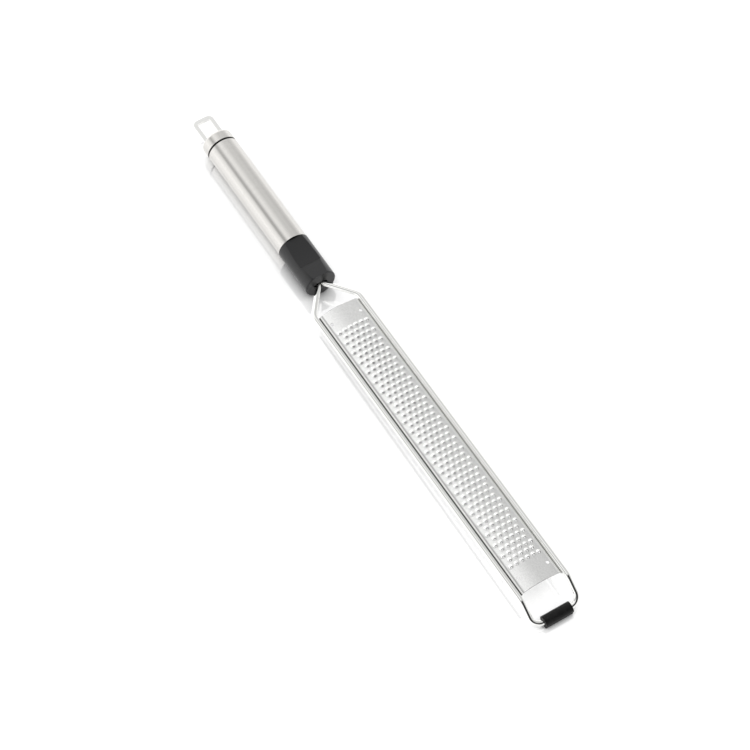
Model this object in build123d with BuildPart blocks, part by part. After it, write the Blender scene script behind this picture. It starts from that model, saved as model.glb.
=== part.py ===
# Rasp zester: a steel tube handle, a black ferrule, a bent wire frame, an arched grating blade and a rubber foot.
# Millimetres. The tool lies at rest: it touches the ground at the end cap and under the foot.
# World X runs from the hanging loop to the tip, Y across the tool, Z up. The origin is under the middle.

import os
from math import asin, atan2, cos, degrees, hypot, pi, radians, sin

from build123d import *

os.makedirs("parts", exist_ok=True)

# Handle, along its axis from the hanging loop to the ferrule's front
loop_reach = 18.6
cap_length = 7.1
ring_width = 1.3
tube_length = 83.6
ferrule_length = 31.7
handle_radius = 9.9
ferrule_step = 0.2
tube_wall = 0.9
cap_wall = 0.9
rim_round = 1.5
press_clearance = 0.05

# Hanging loop, a flat strip bent to a rounded rectangle
loop_width = 13.3
strip_width = 2.4
strip_thickness = 2.2
loop_corner_radius = 3.6
leg_grip = 9.0

# End plug and the ring that it carries
plug_spigot_length = 16.0
plug_neck_radius = 8.1
ring_recess = 0.35
spigot_lead = 1.0

# Ferrule: thumb recess, front edge and the slot that the wires come out of
shank_length = 27.0
front_round = 0.8
thumb_joint_height = 8.4
thumb_low_height = 7.3
thumb_length = 20.2
thumb_step = 0.7
thumb_ramp = 0.6
thumb_front_height = 9.0
exit_margin = 0.3
exit_depth = 2.0
exit_flare = 18.0

# Wire frame
wire_diameter = 3.5
leg_spacing = 3.8
leg_depth = 23.0
neck_angle = 37.5
rail_spacing = 30.5
exit_drop = 0.6
frame_rise = 0.75
neck_bend_radius = 4.0
shoulder_bend_radius = 8.0
dip_bend_radius = 7.0
corner_bend_radius = 6.0

# Grating blade
neck_length = 20.2
blade_length = 218.0
tip_length = 15.9
rail_overhang = 2.6
sheet_thickness = 0.4
crown_radius = 44.0
side_bend_radius = 4.5
seat_angle = 25.0
skirt_length = 0.8
seat_gap = 0.02
end_hole_diameter = 2.4
end_hole_margin = 9.0
end_hole_spacing = 19.6

# Teeth: a hole with a sharp tongue in it, whose free edge faces the handle and stands up
row_pitch = 4.0
column_pitch = 3.7
wide_columns = 6
row_margin = 17.0
tooth_hole_width = 1.7
tooth_hole_length = 2.4
tongue_width = 1.2
tongue_length = 1.7
tongue_root_depth = 0.2
tongue_root_thickness = 0.2
tongue_root_cover = 0.12
tongue_lift = 0.45

# Foot sleeve
foot_length = 18.0
foot_radius = 3.5
foot_height = 3.8
foot_flat = 5.2
foot_slit = 0.6
foot_drop = 10.6
foot_clearance = 0.05

# One overrun for every cut that passes through
overrun = 2.0

ferrule_radius = handle_radius + ferrule_step

# Stations along the handle axis, measured from the far end of the loop
cap_start = loop_reach
ring_start = cap_start + cap_length
tube_start = ring_start + ring_width
ferrule_start = tube_start + tube_length
ferrule_front = ferrule_start + ferrule_length

# Stations along the frame, measured from the ferrule's front
blade_start = neck_length
blade_end = blade_start + blade_length
foot_station = blade_end + tip_length
dip_start = blade_end + rail_overhang

wire_radius = wire_diameter / 2
rail_offset = rail_spacing / 2

# Rest pose: the tilt at which the cap's rim and the foot's flat both touch the ground
rise = radians(frame_rise)
foot_along = ferrule_front + foot_station * cos(rise) + foot_drop * sin(rise)
foot_above = -exit_drop + foot_station * sin(rise) - foot_drop * cos(rise)
rim_along = cap_start + rim_round
rim_above = rim_round - handle_radius
reach = foot_along - rim_along
climb = foot_above - rim_above
tilt = asin((foot_height - rim_round) / hypot(reach, climb)) - atan2(climb, reach)
axis_height = rim_round - rim_along * sin(tilt) - rim_above * cos(tilt)
foot_x = foot_along * cos(tilt) - foot_above * sin(tilt)
overall_length = foot_x + foot_radius
foot_x = foot_x - overall_length / 2


def planes_at(origin, angle):
    """Planes across, beside and over an axis that rises towards the tip by an angle in radians."""
    along = Vector(cos(angle), 0, sin(angle))
    up = Vector(-sin(angle), 0, cos(angle))
    across = Vector(0, 1, 0)
    cross_plane = Plane(origin, x_dir=across, z_dir=along)
    side_plane = Plane(origin, x_dir=along, z_dir=-across)
    top_plane = Plane(origin, x_dir=along, z_dir=up)
    return cross_plane, side_plane, top_plane


# Handle planes start at the loop's far end, frame planes at the ferrule's front
handle_origin = Vector(-overall_length / 2, 0, axis_height)
handle_cross, handle_side, handle_top = planes_at(handle_origin, tilt)
frame_origin = handle_side.from_local_coords(Vector(ferrule_front, -exit_drop))
frame_cross, frame_side, frame_top = planes_at(frame_origin, tilt + rise)

# Hanging loop: a strip round three sides, its two legs held in the end plug
loop_length = loop_reach + cap_wall + leg_grip
inner_corner_radius = loop_corner_radius - strip_width
with BuildPart() as hanging_loop:
    with BuildSketch(handle_top) as loop_outline:
        with Locations((loop_length / 2, 0)):
            Rectangle(loop_length, loop_width)
        fillet(loop_outline.vertices().group_by(Axis.X)[0], loop_corner_radius)
        with BuildSketch(mode=Mode.PRIVATE) as loop_gap:
            gap_length = loop_length - strip_width + overrun
            with Locations((strip_width + gap_length / 2, 0)):
                Rectangle(gap_length, loop_width - 2 * strip_width)
            fillet(loop_gap.vertices().group_by(Axis.X)[0], inner_corner_radius)
        add(loop_gap.sketch, mode=Mode.SUBTRACT)
    extrude(amount=strip_thickness / 2, both=True)
hanging_loop.part.label = "hanging_loop"
export_step(hanging_loop.part, "parts/hanging_loop.step")

# Places of the two legs, shared by the cap's holes and the plug's sockets
leg_offset = (loop_width - strip_width) / 2
leg_hole_width = strip_width + 2 * press_clearance
leg_hole_height = strip_thickness + 2 * press_clearance

# End cap: a steel cup with a rounded rim and a hole for each leg
with BuildPart() as end_cap:
    with BuildSketch(handle_cross.offset(cap_start)):
        Circle(handle_radius)
    extrude(amount=cap_length)
    fillet(end_cap.edges().group_by(Axis.X)[0], rim_round)
    with BuildSketch(handle_cross.offset(cap_start + cap_wall)):
        Circle(handle_radius - cap_wall)
    extrude(amount=cap_length, mode=Mode.SUBTRACT)
    with BuildSketch(handle_cross.offset(cap_start - overrun)):
        with Locations((leg_offset, 0), (-leg_offset, 0)):
            Rectangle(leg_hole_width, leg_hole_height)
    extrude(amount=cap_wall + 2 * overrun, mode=Mode.SUBTRACT)
end_cap.part.label = "end_cap"
export_step(end_cap.part, "parts/end_cap.step")

# End plug: a nose inside the cap, a neck under the ring and a spigot inside the tube
nose_radius = handle_radius - cap_wall - press_clearance
spigot_radius = handle_radius - tube_wall - press_clearance
socket_length = leg_grip + press_clearance
with BuildPart() as end_plug:
    with BuildSketch(handle_cross.offset(cap_start + cap_wall)):
        Circle(nose_radius)
    extrude(amount=cap_length - cap_wall)
    with BuildSketch(handle_cross.offset(ring_start)):
        Circle(plug_neck_radius)
    extrude(amount=ring_width)
    with BuildSketch(handle_cross.offset(tube_start)):
        Circle(spigot_radius)
    extrude(amount=plug_spigot_length)
    chamfer(end_plug.edges().sort_by(Axis.X)[-1], spigot_lead)
    with BuildSketch(handle_cross.offset(cap_start + cap_wall)):
        with Locations((leg_offset, 0), (-leg_offset, 0)):
            Rectangle(leg_hole_width, leg_hole_height)
    extrude(amount=socket_length, mode=Mode.SUBTRACT)
end_plug.part.label = "end_plug"
export_step(end_plug.part, "parts/end_plug.step")

# Black ring, trapped between the cap and the tube
with BuildPart() as cap_ring:
    with BuildSketch(handle_cross.offset(ring_start)):
        Circle(handle_radius - ring_recess)
        Circle(plug_neck_radius + press_clearance, mode=Mode.SUBTRACT)
    extrude(amount=ring_width)
cap_ring.part.label = "cap_ring"
export_step(cap_ring.part, "parts/cap_ring.step")

# Handle tube: an even wall over the plug's spigot and the ferrule's shank
with BuildPart() as handle_tube:
    with BuildSketch(handle_cross.offset(tube_start)):
        Circle(handle_radius)
        Circle(handle_radius - tube_wall, mode=Mode.SUBTRACT)
    extrude(amount=tube_length)
handle_tube.part.label = "handle_tube"
export_step(handle_tube.part, "parts/handle_tube.step")

# Ferrule: a collar with a shank in the tube, a thumb recess on top and a slot for the wires
recess_end = ferrule_start + thumb_length
recess_middle = ferrule_start + thumb_length / 2
recess_sag = (thumb_joint_height - thumb_low_height) / 2
recess_top = ferrule_radius + overrun
exit_height = wire_diameter + 2 * exit_margin
with BuildPart() as ferrule:
    with BuildSketch(handle_cross.offset(ferrule_start)):
        Circle(ferrule_radius)
    extrude(amount=ferrule_length)
    fillet(ferrule.edges().sort_by(Axis.X)[-1], front_round)
    with BuildSketch(handle_side):
        with BuildLine():
            ThreePointArc(
                (ferrule_start, thumb_joint_height),
                (recess_middle, thumb_low_height + recess_sag / 2),
                (recess_end, thumb_low_height),
            )
            Polyline(
                (recess_end, thumb_low_height),
                (recess_end + thumb_ramp, thumb_low_height + thumb_step),
                (ferrule_front + overrun, thumb_front_height),
                (ferrule_front + overrun, recess_top),
                (ferrule_start, recess_top),
                (ferrule_start, thumb_joint_height),
            )
        make_face()
    extrude(amount=recess_top, both=True, mode=Mode.SUBTRACT)
    with BuildSketch(handle_cross.offset(ferrule_start - shank_length)):
        Circle(handle_radius - tube_wall - press_clearance)
    extrude(amount=shank_length)
    with BuildSketch(frame_cross.offset(-exit_depth)):
        SlotOverall(leg_spacing + exit_height, exit_height)
    extrude(amount=exit_depth + overrun, taper=-exit_flare, mode=Mode.SUBTRACT)
    with BuildSketch(frame_cross.offset(-leg_depth - press_clearance)):
        socket_height = wire_diameter + 2 * press_clearance
        SlotOverall(leg_spacing + socket_height, socket_height)
    extrude(amount=leg_depth, mode=Mode.SUBTRACT)
ferrule.part.label = "ferrule"
export_step(ferrule.part, "parts/ferrule.step")

# Wire frame: legs, shoulders, rails, dips and crosspiece of one round wire
leg_line = leg_spacing / 2
neck_run = (rail_offset - leg_line) * cos(radians(neck_angle)) / sin(radians(neck_angle))
with BuildPart() as wire_frame:
    with BuildLine(frame_top) as wire_path:
        FilletPolyline(
            (-leg_depth, leg_line, 0),
            (0, leg_line, 0),
            (neck_run, rail_offset, 0),
            (dip_start, rail_offset, 0),
            (foot_station, rail_offset, -foot_drop),
            (foot_station, -rail_offset, -foot_drop),
            (dip_start, -rail_offset, 0),
            (neck_run, -rail_offset, 0),
            (0, -leg_line, 0),
            (-leg_depth, -leg_line, 0),
            radius=[
                neck_bend_radius,
                shoulder_bend_radius,
                dip_bend_radius,
                corner_bend_radius,
                corner_bend_radius,
                dip_bend_radius,
                shoulder_bend_radius,
                neck_bend_radius,
            ],
        )
    wire_start = frame_cross.offset(-leg_depth)
    with BuildSketch(wire_start):
        with Locations((leg_line, 0)):
            Circle(wire_radius)
    sweep(path=wire_path.wires()[0])
wire_frame.part.label = "wire_frame"
export_step(wire_frame.part, "parts/wire_frame.step")

# Blade section: a crown arc and two side bends that come down against the inner sides of the rails
seat = radians(seat_angle)
touch = wire_radius + seat_gap
seat_across = rail_offset - touch * cos(seat)
seat_above = -touch * sin(seat)
bend_across = seat_across - side_bend_radius * cos(seat)
bend_above = seat_above - side_bend_radius * sin(seat)
crown_half_angle = asin(bend_across / (crown_radius - side_bend_radius))
crown_centre = bend_above - (crown_radius - side_bend_radius) * cos(crown_half_angle)
crown_height = crown_centre + crown_radius


# The crown is bent in narrow flats, one under each column of teeth, up to where the side bends start
flat_angle = column_pitch / 2 / crown_radius
flat_edges = [(column + 1 / 2) * flat_angle for column in range(wide_columns)]
crown_angles = [angle for angle in flat_edges if angle < crown_half_angle] + [crown_half_angle]
flat_radius = crown_radius * cos(flat_angle / 2)


def mirrored(point):
    """The same point on the other side of the section."""
    return Vector(-point.X, point.Y)


def section_edge(inset):
    """One face of the sheet, from skirt to skirt, at a depth below the outer face."""
    crown = crown_radius - inset
    bend = side_bend_radius - inset
    middle = (crown_half_angle + pi / 2 - seat) / 2
    right = [Vector(crown * sin(angle), crown_centre + crown * cos(angle)) for angle in crown_angles]
    left = [mirrored(point) for point in reversed(right)]
    bend_middle = Vector(bend_across + bend * sin(middle), bend_above + bend * cos(middle))
    seat_point = Vector(bend_across + bend * cos(seat), bend_above + bend * sin(seat))
    skirt_point = seat_point + Vector(sin(seat), -cos(seat)) * skirt_length
    Line(mirrored(skirt_point), mirrored(seat_point))
    ThreePointArc(mirrored(seat_point), mirrored(bend_middle), left[0])
    Polyline(left + right)
    ThreePointArc(right[-1], bend_middle, seat_point)
    Line(seat_point, skirt_point)
    return skirt_point


# Teeth: wide rows alternate with rows that have one tooth fewer. Each column leans with its flat of the crown.
wide_rows = round((blade_length - 2 * row_margin) / (2 * row_pitch)) + 1
narrow_rows = wide_rows - 1
narrow_columns = wide_columns - 1
blade_middle = (blade_start + blade_end) / 2
crown_origin = frame_side.from_local_coords(Vector(blade_middle, crown_centre))
crown_side = planes_at(crown_origin, tilt + rise)[1]
wide_leans = [degrees((column * 2 - narrow_columns) * flat_angle) for column in range(wide_columns)]
narrow_leans = [lean + degrees(flat_angle) for lean in wide_leans[:-1]]
wide_places = [crown_side.rotated((lean, 0, 0)) for lean in wide_leans]
narrow_places = [crown_side.rotated((lean, 0, 0)) for lean in narrow_leans]

# One tooth at the crown's radius: the hole that is punched and the tongue that stands in it
hole_half = tooth_hole_length / 2
root_end = hole_half + tongue_root_depth
root_top = flat_radius - tongue_root_cover
with BuildPart() as punch:
    with BuildSketch():
        with Locations((0, flat_radius - sheet_thickness / 2)):
            Rectangle(tooth_hole_length, sheet_thickness + 2 * overrun)
    extrude(amount=tooth_hole_width / 2, both=True)
with BuildPart() as tongue:
    with BuildSketch():
        with BuildLine():
            Polyline(
                (root_end, root_top - tongue_root_thickness),
                (root_end, root_top),
                (hole_half - tongue_length, flat_radius + tongue_lift),
                close=True,
            )
        make_face()
    extrude(amount=tongue_width / 2, both=True)

# Grating blade: the bent sheet, its four locating holes and the teeth
with BuildPart() as grating_blade:
    with BuildSketch(frame_cross.offset(blade_start)):
        with BuildLine():
            outer_end = section_edge(0)
            inner_end = section_edge(sheet_thickness)
            Line(outer_end, inner_end)
            Line(mirrored(outer_end), mirrored(inner_end))
        make_face()
    extrude(amount=blade_length)
    with BuildSketch(frame_top.offset(bend_above)):
        with Locations((blade_middle, 0)):
            with GridLocations(blade_length - 2 * end_hole_margin, end_hole_spacing, 2, 2):
                Circle(end_hole_diameter / 2)
    extrude(amount=crown_height - bend_above + overrun, mode=Mode.SUBTRACT)
    with Locations(wide_places):
        with GridLocations(2 * row_pitch, 0, wide_rows, 1):
            add(punch.part, mode=Mode.SUBTRACT)
            add(tongue.part)
    with Locations(narrow_places):
        with GridLocations(2 * row_pitch, 0, narrow_rows, 1):
            add(punch.part, mode=Mode.SUBTRACT)
            add(tongue.part)
grating_blade.part.label = "grating_blade"
export_step(grating_blade.part, "parts/grating_blade.step")

# Foot sleeve: rubber pushed on to the crosspiece, flat below, with a slit behind
foot_side = Plane(origin=(foot_x, 0, foot_height), x_dir=(1, 0, 0), z_dir=(0, -1, 0))
with BuildPart() as foot_sleeve:
    with BuildSketch(foot_side):
        Circle(foot_radius)
        with Locations((0, -foot_height / 2)):
            Rectangle(foot_flat, foot_height)
        Circle(wire_radius + foot_clearance, mode=Mode.SUBTRACT)
        with Locations((-foot_radius / 2, 0)):
            Rectangle(foot_radius, foot_slit, mode=Mode.SUBTRACT)
    extrude(amount=foot_length / 2, both=True)
foot_sleeve.part.label = "foot_sleeve"
export_step(foot_sleeve.part, "parts/foot_sleeve.step")

print("overall length", round(overall_length, 3))
print("tilt in degrees", round(degrees(tilt), 4))
print("crown above rails", round(crown_height, 3))
print("teeth", wide_rows * wide_columns + narrow_rows * narrow_columns)
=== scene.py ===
# %% [markdown]
# # A rasp zester in a bright studio
#
# A rasp zester is a steel tube to hold, a black collar, one long bent wire, and a thin arched sheet of tiny
# teeth between the two sides of the wire. The solids come from the CAD model, in metres. This notebook adds
# what a camera sees: the finish of each metal, the rounded teeth, the soft edges, the light and the floor.

from math import asin, cos, pi, radians, sin

import bmesh
import bpy
from mathutils import Matrix, Vector


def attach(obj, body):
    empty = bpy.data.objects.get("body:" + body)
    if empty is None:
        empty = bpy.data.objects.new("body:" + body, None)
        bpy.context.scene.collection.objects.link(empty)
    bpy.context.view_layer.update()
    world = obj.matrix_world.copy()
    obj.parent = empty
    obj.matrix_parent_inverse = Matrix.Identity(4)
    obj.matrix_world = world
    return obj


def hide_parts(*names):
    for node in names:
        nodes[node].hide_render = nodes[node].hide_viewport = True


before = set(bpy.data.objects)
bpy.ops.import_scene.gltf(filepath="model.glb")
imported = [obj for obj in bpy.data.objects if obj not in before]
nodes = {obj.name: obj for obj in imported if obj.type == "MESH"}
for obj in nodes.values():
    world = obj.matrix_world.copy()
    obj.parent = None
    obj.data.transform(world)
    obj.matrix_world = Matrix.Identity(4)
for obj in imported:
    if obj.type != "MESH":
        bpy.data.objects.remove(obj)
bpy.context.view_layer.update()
print("nodes:", ", ".join(sorted(nodes)))

# %% [markdown]
# ## Where things are
#
# The tool lies with its cap and its foot on the ground, so the handle and the frame each have a small
# slope. Two helper transforms give the handle and the frame a simple system of their own: X along, Y
# across, Z up. Everything can then be modelled straight, and tipped into place at the end.

# %% Handle and frame systems
MM = 0.001
HALF = 200.025 * MM
CAP_CENTRE_HEIGHT = 9.8052 * MM
FERRULE_FRONT, FRAME_DROP = 142.3 * MM, 0.6 * MM
HANDLE_SLOPE, BEND_AT_FERRULE = radians(0.2699), radians(0.75)
cap_centre = Matrix.Translation((-HALF, 0, CAP_CENTRE_HEIGHT))
handle_place = cap_centre @ Matrix.Rotation(-HANDLE_SLOPE, 4, "Y")
wire_exit = Matrix.Translation((FERRULE_FRONT, 0, -FRAME_DROP))
frame_place = handle_place @ wire_exit @ Matrix.Rotation(-BEND_AT_FERRULE, 4, "Y")
print("frame origin in mm:", [round(v * 1000, 2) for v in frame_place.translation])

# %% [markdown]
# ## The camera
#
# The photograph looks down on the tool from beyond its tip and a little from the left, with a long lens from
# almost two metres away, so the sides hardly converge. The place, the aim, the roll and the lens were fitted
# to measured points of the tool. A shifted lens fits the points still better, but it moves the tool out of
# the picture as soon as it is seen from another side, so an ordinary camera was chosen.

# %% Camera
camera_data = bpy.data.cameras.new("studio_camera")
camera = bpy.data.objects.new("studio_camera", camera_data)
bpy.context.collection.objects.link(camera)
CAMERA_PLACE = Vector((0.83172, -0.47585, 1.54289))
AIM = Vector((0.00759, -0.00281, 0.0))
ROLL = radians(-1.958)
camera.location = CAMERA_PLACE
aim_turn = (AIM - CAMERA_PLACE).to_track_quat("-Z", "Y").to_matrix() @ Matrix.Rotation(ROLL, 3, "Z")
camera.rotation_euler = aim_turn.to_euler()
camera_data.sensor_width = 36.0
camera_data.lens = 148.961
camera_data.clip_end = 20.0
bpy.context.scene.camera = camera
print("camera distance in m:", round(CAMERA_PLACE.length, 3))

# %% [markdown]
# ## Helpers for materials
#
# Every finish here starts from one Principled shader. Small helpers add the nodes that give it life: a
# noise that is stretched along one axis for brushing, and a bump made from it. A value that is the same all
# over the surface is set on the shader's own socket.

# %% Material helpers
def new_material(name, colour, metallic, roughness):
    """A Principled material, its node tree and its shader."""
    material = bpy.data.materials.new(name)
    material.use_nodes = True
    tree = material.node_tree
    shader = tree.nodes["Principled BSDF"]
    shader.inputs["Base Color"].default_value = (*colour, 1)
    shader.inputs["Metallic"].default_value = metallic
    shader.inputs["Roughness"].default_value = roughness
    return material, tree, shader


def add_node(tree, kind, **values):
    """A node with its inputs set by name."""
    node = tree.nodes.new(kind)
    for key, value in values.items():
        node.inputs[key.replace("_", " ")].default_value = value
    return node


def stretched_noise(tree, stretch, scale):
    """Noise on Object coordinates, squeezed or stretched along the axes."""
    place = tree.nodes.new("ShaderNodeTexCoord")
    mapping = add_node(tree, "ShaderNodeMapping", Scale=stretch)
    noise = add_node(tree, "ShaderNodeTexNoise", Scale=scale, Detail=4.0, Roughness=0.6)
    tree.links.new(place.outputs["Object"], mapping.inputs["Vector"])
    tree.links.new(mapping.outputs["Vector"], noise.inputs["Vector"])
    return noise


def ramp_between(tree, source, low, high, low_colour, high_colour):
    """A colour ramp from low_colour to high_colour between two values of the source."""
    ramp = tree.nodes.new("ShaderNodeValToRGB")
    ramp.color_ramp.elements[0].position = low
    ramp.color_ramp.elements[0].color = (*low_colour, 1)
    ramp.color_ramp.elements[1].position = high
    ramp.color_ramp.elements[1].color = (*high_colour, 1)
    tree.links.new(source, ramp.inputs["Fac"])
    return ramp


def add_bump(tree, shader, source, strength, distance):
    """A bump of a given depth in metres."""
    bump = add_node(tree, "ShaderNodeBump", Strength=strength, Distance=distance)
    tree.links.new(source, bump.inputs["Height"])
    tree.links.new(bump.outputs["Normal"], shader.inputs["Normal"])


def give(piece, material):
    """Puts one material on every slot of a piece."""
    piece.data.materials.clear()
    piece.data.materials.append(material)


print("material helpers ready")

# %% [markdown]
# ## Brushed steel of the handle
#
# The tube and the cap are turned against a belt, so the brush lines run round them. Lines that run round
# spread a highlight along the tube and keep it sharp across, which is why the photograph shows long thin
# bands.

# %% Brushed steel
brushed_steel, tree, shader = new_material("brushed_steel", (0.69, 0.675, 0.65), 1.0, 0.2)
shader.inputs["Anisotropic"].default_value = 0.7
shader.inputs["Anisotropic Rotation"].default_value = 0.25
tangent = tree.nodes.new("ShaderNodeTangent")
tangent.direction_type = "RADIAL"
tangent.axis = "X"
tree.links.new(tangent.outputs["Tangent"], shader.inputs["Tangent"])
lines = stretched_noise(tree, (90, 1, 1), 160.0)
tint = ramp_between(tree, lines.outputs["Fac"], 0.3, 0.7, (0.64, 0.625, 0.60), (0.74, 0.725, 0.70))
tree.links.new(tint.outputs["Color"], shader.inputs["Base Color"])
add_bump(tree, shader, lines.outputs["Fac"], 0.12, 0.00002)
give(nodes["handle_tube"], brushed_steel)
give(nodes["end_cap"], brushed_steel)
print("brushed steel on the tube and the cap")

# %% [markdown]
# ## Polished steel of the wire and the loop
#
# The wire is drawn and then polished, so it is almost a mirror and its look is the studio's: a white
# tent with a dark gap in it, and a pale floor. A little cloudiness keeps it from looking like glass.

# %% Polished steel
polished_steel, tree, shader = new_material("polished_steel", (0.92, 0.92, 0.90), 1.0, 0.1)
haze = stretched_noise(tree, (1, 6, 6), 60.0)
cloud = ramp_between(tree, haze.outputs["Fac"], 0.35, 0.7, (0.06, 0.06, 0.06), (0.13, 0.13, 0.13))
tree.links.new(cloud.outputs["Color"], shader.inputs["Roughness"])
give(nodes["wire_frame"], polished_steel)
give(nodes["hanging_loop"], polished_steel)
print("polished steel on the wire and the loop")

# %% [markdown]
# ## The toothed blade
#
# Every tooth of a real blade is a small scoop: the sheet rises behind the hole, like an open mouth that
# faces the tip, and its lip is the cutting edge. The CAD blade has straight tongues there, so this piece
# takes its place. Booleans could cut the holes, but they leave ragged faces that don't round well. So this
# is a flat grid: its teeth are shaped first, and the sheet is bent last. The section after bending is a
# wide arch, a side bend over each rail and a short skirt.

# %% Section of the sheet
# Rail offset, rail radius with its gap, radii of the side bends and of the crown, length of the skirt
RAIL, TOUCH, SIDE_BEND, CROWN, SKIRT = 15.25, 1.77, 4.5, 44.0, 0.8
SEAT = radians(25)
BEND_ACROSS = RAIL - (TOUCH + SIDE_BEND) * cos(SEAT)
BEND_ABOVE = -(TOUCH + SIDE_BEND) * sin(SEAT)
CROWN_HALF = asin(BEND_ACROSS / (CROWN - SIDE_BEND))
CROWN_CENTRE = BEND_ABOVE - (CROWN - SIDE_BEND) * cos(CROWN_HALF)
CROWN_ARC = CROWN * CROWN_HALF
BEND_ARC = SIDE_BEND * (pi / 2 - SEAT - CROWN_HALF)


def bent(along, arc, lift):
    """The place of a point of the flat sheet after bending, in the frame system."""
    side = 1 if arc > 0 else -1
    run = abs(arc)
    if run <= CROWN_ARC:
        turn = run / CROWN
        across = (CROWN + lift) * sin(turn)
        above = CROWN_CENTRE + (CROWN + lift) * cos(turn)
    else:
        turn = CROWN_HALF + min(run - CROWN_ARC, BEND_ARC) / SIDE_BEND
        skirt = max(0.0, run - CROWN_ARC - BEND_ARC)
        across = BEND_ACROSS + (SIDE_BEND + lift) * sin(turn) + skirt * cos(turn)
        above = BEND_ABOVE + (SIDE_BEND + lift) * cos(turn) - skirt * sin(turn)
    return Vector((along * MM, side * across * MM, above * MM))


print("sheet half width along its arc in mm:", round(CROWN_ARC + BEND_ARC + SKIRT, 2))

# %% [markdown]
# ## A grid that fits the teeth
#
# The teeth stand in rows of six and five in turn, so that each tooth cuts where the row before left a gap.
# The lines of the grid run through the rows and the columns, which puts a grid point in the centre of every
# tooth. Dissolving that point joins the four faces round it into one face with eight corners.

# %% Flat grid with the teeth
BLADE_START, BLADE_END, END_STRIP = 20.2, 238.2, 0.4
FIRST_ROW, ROW_PITCH, ROWS = 37.2, 4.0, 47
LINES, FIRST_LINE = 110, 9
HALF_COLUMN, TOOTHED_STEPS = 1.85, 7
MARGIN_ARCS = [12.05, 13.0, 13.9, 14.77, 15.3, 15.57]
WIDE_ROW, NARROW_ROW = (-5, -3, -1, 1, 3, 5), (-4, -2, 0, 2, 4)
HOLE_LINE, HOLE_COLUMN, HOLE_SHIFT = 5, 5, 0.63
inner_lines = [FIRST_ROW + ROW_PITCH / 2 * (line - FIRST_LINE) for line in range(2, LINES - 1)]
row_lines = [BLADE_START, BLADE_START + END_STRIP, *inner_lines, BLADE_END - END_STRIP, BLADE_END]
column_arcs = [HALF_COLUMN * step for step in range(TOOTHED_STEPS)] + MARGIN_ARCS
side_columns = len(column_arcs) - 1

shape = bmesh.new()
bmesh.ops.create_grid(shape, x_segments=LINES, y_segments=2 * side_columns, size=1.0)
at = {}
for corner in shape.verts:
    line = round((corner.co.x + 1) / 2 * LINES)
    column = round((corner.co.y + 1) * side_columns) - side_columns
    arc = column_arcs[abs(column)] * (1 if column > 0 else -1)
    corner.co = (row_lines[line], arc, 0)
    at[line, column] = corner
print("grid faces:", len(shape.faces))

tooth_centres = []
for row in range(ROWS):
    line = FIRST_LINE + 2 * row
    for column in NARROW_ROW if row % 2 else WIDE_ROW:
        tooth_centres.append((at[line, column], Vector((row_lines[line], HALF_COLUMN * column, 0))))
hole_centres = []
for line in (HOLE_LINE, LINES - HOLE_LINE):
    for side in (-1, 1):
        arc = side * (HALF_COLUMN * HOLE_COLUMN + HOLE_SHIFT)
        hole_centres.append((at[line, side * HOLE_COLUMN], Vector((row_lines[line], arc, 0))))
middles = [place for corner, place in tooth_centres + hole_centres]
bmesh.ops.dissolve_verts(shape, verts=[corner for corner, place in tooth_centres + hole_centres])
cells = [face for face in shape.faces if len(face.verts) == 8]
print("teeth and locating holes:", len(cells))

# %% [markdown]
# ## From a face to a scoop
#
# Four insets turn each of these faces into the rings of a scoop, each with its own size, height and shift,
# and the last face is deleted for the hole. The four locating holes near the ends are made in the same way,
# with rings that stay flat.

# %% Scoops and holes
# Each ring: radius along, radius across, lift, shift towards the tip, and how far to the tip its painted
# shade starts
NO_SHADE, ALL_SHADE = 2.0, -2.0
SCOOP = [
    (1.62, 1.50, 0.0, 0.0, NO_SHADE),
    (1.26, 1.22, 0.42, 0.02, NO_SHADE),
    (0.80, 0.96, 0.62, 0.36, 0.2),
    (0.68, 0.80, 0.68, 0.42, ALL_SHADE),
]
PLAIN = [(radius, radius, 0.0, 0.0, NO_SHADE) for radius in (1.6, 1.45, 1.3, 1.2)]
RISE_SHARE = 0.75


def nearest(face):
    """The centre that a cell belongs to, and whether it is a tooth."""
    centre = face.calc_center_median()
    index = min(range(len(middles)), key=lambda item: (middles[item] - centre).length_squared)
    return middles[index], index < len(tooth_centres)


owners = {face: nearest(face) for face in cells}
# A float layer on the corners marks painted shade, which the blade's material turns dark.
painted_shade = shape.verts.layers.float.new("painted_shade")
old_shift = dict.fromkeys(cells, 0.0)
for level in range(len(SCOOP)):
    bmesh.ops.inset_individual(shape, faces=cells, thickness=0.12, use_even_offset=True)
    for face in cells:
        middle, toothed = owners[face]
        along, across, lift, shift, shade_start = (SCOOP if toothed else PLAIN)[level]
        for corner in face.verts:
            way = Vector((corner.co.x - middle.x - old_shift[face], corner.co.y - middle.y, 0))
            way.normalize()
            rise = max(0.0, min(1.0, RISE_SHARE - RISE_SHARE * way.x))
            corner.co = middle + Vector((along * way.x + shift, across * way.y, lift * rise))
            # Painted shade in the mouth: the corners of this ring that lie towards the tip beyond its start
            # are marked dark.
            corner[painted_shade] = way.x > shade_start
        old_shift[face] = shift
bmesh.ops.delete(shape, geom=cells, context="FACES_ONLY")
print("open scoops and holes:", len(owners))

# %% [markdown]
# ## Bending the sheet
#
# Only now is the flat sheet bent, as the real one is after its teeth are made. One modifier rounds the
# scoops and another gives the sheet its thickness. The sheet is thickened on the side away from its
# normals, and the topmost face tells whether they point up.

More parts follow.
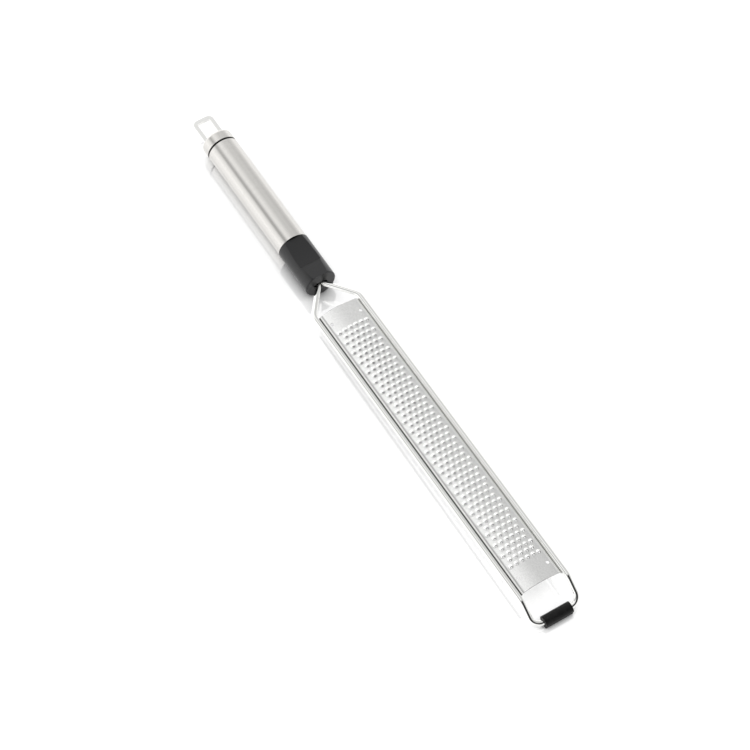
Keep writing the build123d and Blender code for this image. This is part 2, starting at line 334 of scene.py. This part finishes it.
# %% Bend and finish the blade
LEFT_SHADE_ARC, SHEET = 12.6, 0.4
for corner in shape.verts:
    # Painted shade along the left edge of the sheet, for the shaded gap between the sheet and the wire.
    corner[painted_shade] = max(corner[painted_shade], min(1.0, -corner.co.y - LEFT_SHADE_ARC))
    corner.co = bent(corner.co.x, corner.co.y, corner.co.z)
bmesh.ops.recalc_face_normals(shape, faces=shape.faces)
top = max(shape.faces, key=lambda face: face.calc_center_median().z)
if top.normal.z < 0:
    bmesh.ops.reverse_faces(shape, faces=shape.faces)
bmesh.ops.transform(shape, matrix=frame_place, verts=shape.verts)
blade_mesh = bpy.data.meshes.new("toothed_blade")
shape.to_mesh(blade_mesh)
shape.free()
blade_mesh.polygons.foreach_set("use_smooth", [True] * len(blade_mesh.polygons))
toothed_blade = bpy.data.objects.new("toothed_blade", blade_mesh)
bpy.context.collection.objects.link(toothed_blade)
smooth = toothed_blade.modifiers.new("rounding", "SUBSURF")
smooth.levels = 1
smooth.render_levels = 1
smooth.boundary_smooth = "PRESERVE_CORNERS"
wall = toothed_blade.modifiers.new("wall", "SOLIDIFY")
wall.thickness = SHEET * MM
wall.offset = -1
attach(toothed_blade, "root")
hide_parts("grating_blade")
print("blade faces before rounding:", len(blade_mesh.polygons))

# %% [markdown]
# ## Satin steel of the blade
#
# The sheet is etched and tumbled, which leaves it even and silky, with no direction. A mesh attribute
# marks where shade is painted into its colour: along the left edge, where the shaded gap between sheet and
# wire is the black line beside the wire in the photograph, and round the mouth of each tooth.

# %% Satin steel
satin_steel, tree, shader = new_material("satin_steel", (0.86, 0.86, 0.85), 1.0, 0.2)
grain = stretched_noise(tree, (1, 1, 1), 900.0)
grey = ramp_between(tree, grain.outputs["Fac"], 0.3, 0.7, (0.82, 0.82, 0.81), (0.90, 0.90, 0.89))
# Painted shade: the marked corners turn the grain's grey almost black, along the left edge and in the mouths
# of the teeth.
shade_mark = tree.nodes.new("ShaderNodeAttribute")
shade_mark.attribute_name = "painted_shade"
shade_ramp = ramp_between(tree, shade_mark.outputs["Fac"], 0.6, 0.85, (1, 1, 1), (0.04, 0.04, 0.04))
grain_and_shade = add_node(tree, "ShaderNodeMixRGB", Fac=1.0)
grain_and_shade.blend_type = "MULTIPLY"
tree.links.new(grey.outputs["Color"], grain_and_shade.inputs["Color1"])
tree.links.new(shade_ramp.outputs["Color"], grain_and_shade.inputs["Color2"])
tree.links.new(grain_and_shade.outputs["Color"], shader.inputs["Base Color"])
give(nodes["grating_blade"], satin_steel)
give(toothed_blade, satin_steel)
print("satin steel on the blade")

# %% [markdown]
# ## Black plastic and black rubber
#
# The collar is moulded with a fine spark texture. The foot is softer and flatter in tone.

# %% Black plastic and rubber
black_plastic, tree, shader = new_material("black_plastic", (0.01, 0.01, 0.011), 0.0, 0.3)
spark = stretched_noise(tree, (1, 1, 1), 1400.0)
add_bump(tree, shader, spark.outputs["Fac"], 0.35, 0.00006)
give(nodes["ferrule"], black_plastic)
give(nodes["end_plug"], black_plastic)

black_rubber, tree, shader = new_material("black_rubber", (0.01, 0.01, 0.01), 0.0, 0.5)
shader.inputs["Specular IOR Level"].default_value = 0.2
dust = stretched_noise(tree, (1, 1, 1), 300.0)
soft = ramp_between(tree, dust.outputs["Fac"], 0.4, 0.7, (0.006, 0.006, 0.006), (0.014, 0.014, 0.014))
tree.links.new(soft.outputs["Color"], shader.inputs["Base Color"])
give(nodes["cap_ring"], black_rubber)
give(nodes["foot_sleeve"], black_rubber)
print("black plastic on the ferrule and the plug, black rubber on the ring and the foot")

# %% [markdown]
# ## The studio
#
# Polished metal shows its surroundings, so the surroundings are the real light here. The world is a light
# tent whose brightness changes with the angle round the tool's long axis: it is white on the left, grey
# overhead and darker to the right, with a narrow dark gap, which draws the dark line along the handle.
# Area lights could do the same, but on curved metal a ramp of angles gives softer and more exact bands.

# %% Light tent by angle
BANDS = [
    (-180, 0.9), (-104, 1.0), (-88, 0.98), (-80, 0.86), (-72, 0.80), (-64, 0.75), (-57, 0.64), (-51, 0.42),
    (-46, 0.26), (-37, 0.26), (-32, 0.40), (-25, 0.60), (-17, 0.72), (-4, 0.67), (9, 0.54), (20, 0.46),
    (37, 0.47), (52, 0.42), (61, 0.43), (70, 0.50), (80, 0.62), (100, 0.8), (180, 0.9),
]
world = bpy.data.worlds.new("light_tent")
bpy.context.scene.world = world
world.use_nodes = True
tree = world.node_tree
tree.nodes.clear()
direction = tree.nodes.new("ShaderNodeTexCoord")
split = tree.nodes.new("ShaderNodeSeparateXYZ")
turn = tree.nodes.new("ShaderNodeMath")
turn.operation = "ARCTAN2"
share = add_node(tree, "ShaderNodeMapRange")
share.inputs["From Min"].default_value = -pi
share.inputs["From Max"].default_value = pi
tent = tree.nodes.new("ShaderNodeValToRGB")
tree.links.new(direction.outputs["Generated"], split.inputs["Vector"])
tree.links.new(split.outputs["Y"], turn.inputs[0])
tree.links.new(split.outputs["Z"], turn.inputs[1])
tree.links.new(turn.outputs["Value"], share.inputs["Value"])
tree.links.new(share.outputs["Result"], tent.inputs["Fac"])
stops = tent.color_ramp.elements
while len(stops) > 1:
    stops.remove(stops[0])
for angle, value in BANDS:
    stop = stops.new((angle + 180) / 360)
    stop.color = (value, value, value, 1)
stops.remove(stops[0])
print("bands round the tool:", len(stops))

# %% [markdown]
# ## The ends of the tent
#
# Angles alone would make both ends of the tent alike. Behind the handle it is open and white. Beyond the tip
# it has a dark patch high up, round the camera, which the bends of the wire show as black. The camera itself
# sees plain white, like the cut-out background of the photograph.

# %% Open end, dark end and output
def fade(tree, source, start, end, before, after):
    """Goes from one value to another while the source goes from start to end. A value may be a socket."""
    node = tree.nodes.new("ShaderNodeMapRange")
    tree.links.new(source, node.inputs["Value"])
    for key, value in (("From Min", start), ("From Max", end), ("To Min", before), ("To Max", after)):
        if isinstance(value, bpy.types.NodeSocket):
            tree.links.new(value, node.inputs[key])
        else:
            node.inputs[key].default_value = value
    return node.outputs["Result"]


DARK = 0.02
TENT_STRENGTH = 1.45
aside = tree.nodes.new("ShaderNodeMath")
aside.operation = "ABSOLUTE"
tree.links.new(split.outputs["Y"], aside.inputs[0])
open_end = fade(tree, split.outputs["X"], -0.5, -0.75, tent.outputs["Color"], 1.0)
high_up = fade(tree, split.outputs["Z"], 0.3, 0.42, open_end, DARK)
narrow = fade(tree, aside.outputs["Value"], 0.4, 0.65, high_up, open_end)
dark_end = fade(tree, split.outputs["X"], 0.2, 0.42, open_end, narrow)
paths = tree.nodes.new("ShaderNodeLightPath")
mix = tree.nodes.new("ShaderNodeMixShader")
tent_light = add_node(tree, "ShaderNodeBackground", Strength=TENT_STRENGTH)
white = add_node(tree, "ShaderNodeBackground", Color=(1, 1, 1, 1), Strength=1.0)
output = tree.nodes.new("ShaderNodeOutputWorld")
tree.links.new(dark_end, tent_light.inputs["Color"])
tree.links.new(paths.outputs["Is Camera Ray"], mix.inputs["Fac"])
tree.links.new(tent_light.outputs["Background"], mix.inputs[1])
tree.links.new(white.outputs["Background"], mix.inputs[2])
tree.links.new(mix.outputs["Shader"], output.inputs["Surface"])
print("world nodes:", len(tree.nodes))

# %% [markdown]
# ## The floor
#
# A glossy white table. Its dull share shows the tool's soft shadow and its glossy share a faint mirror
# image. A glow that only the camera and the mirrors see lifts the bare table to pure white. Ambient
# occlusion takes the glow away under the blade, so that the holes of the teeth look dark.

# %% Floor
GLOW, MIRROR_SHARE = 0.62, 0.3
floor_mesh = bpy.data.meshes.new("floor")
shape = bmesh.new()
bmesh.ops.create_grid(shape, x_segments=1, y_segments=1, size=6.0)
shape.to_mesh(floor_mesh)
shape.free()
floor = bpy.data.objects.new("floor", floor_mesh)
bpy.context.collection.objects.link(floor)
table = bpy.data.materials.new("white_table")
table.use_nodes = True
tree = table.node_tree
tree.nodes.clear()
dull = add_node(tree, "ShaderNodeBsdfDiffuse", Color=(0.6, 0.6, 0.6, 1))
mirror = add_node(tree, "ShaderNodeBsdfGlossy", Color=(1, 1, 1, 1), Roughness=0.02)
glow = add_node(tree, "ShaderNodeEmission", Color=(1, 1, 1, 1))
lit = add_node(tree, "ShaderNodeMixShader", Fac=MIRROR_SHARE)
shelter = add_node(tree, "ShaderNodeAmbientOcclusion", Distance=0.02)
paths = tree.nodes.new("ShaderNodeLightPath")
seen = tree.nodes.new("ShaderNodeMath")
seen.operation = "MAXIMUM"
level = tree.nodes.new("ShaderNodeMath")
level.operation = "MULTIPLY"
join = tree.nodes.new("ShaderNodeAddShader")
out = tree.nodes.new("ShaderNodeOutputMaterial")
tree.links.new(dull.outputs["BSDF"], lit.inputs[1])
tree.links.new(mirror.outputs["BSDF"], lit.inputs[2])
tree.links.new(paths.outputs["Is Camera Ray"], seen.inputs[0])
tree.links.new(paths.outputs["Is Glossy Ray"], seen.inputs[1])
tree.links.new(seen.outputs["Value"], level.inputs[0])
tree.links.new(fade(tree, shelter.outputs["AO"], 0.3, 0.75, 0.0, GLOW), level.inputs[1])
tree.links.new(level.outputs["Value"], glow.inputs["Strength"])
tree.links.new(lit.outputs["Shader"], join.inputs[0])
tree.links.new(glow.outputs["Emission"], join.inputs[1])
tree.links.new(join.outputs["Shader"], out.inputs["Surface"])
give(floor, table)
print("floor across in m:", floor.dimensions.x)

# %% [markdown]
# ## Colour
#
# The picture uses the Standard view transform. The dressed part must stay inside the
# solids' box.

# %% Colour
bpy.context.scene.view_settings.view_transform = "Standard"
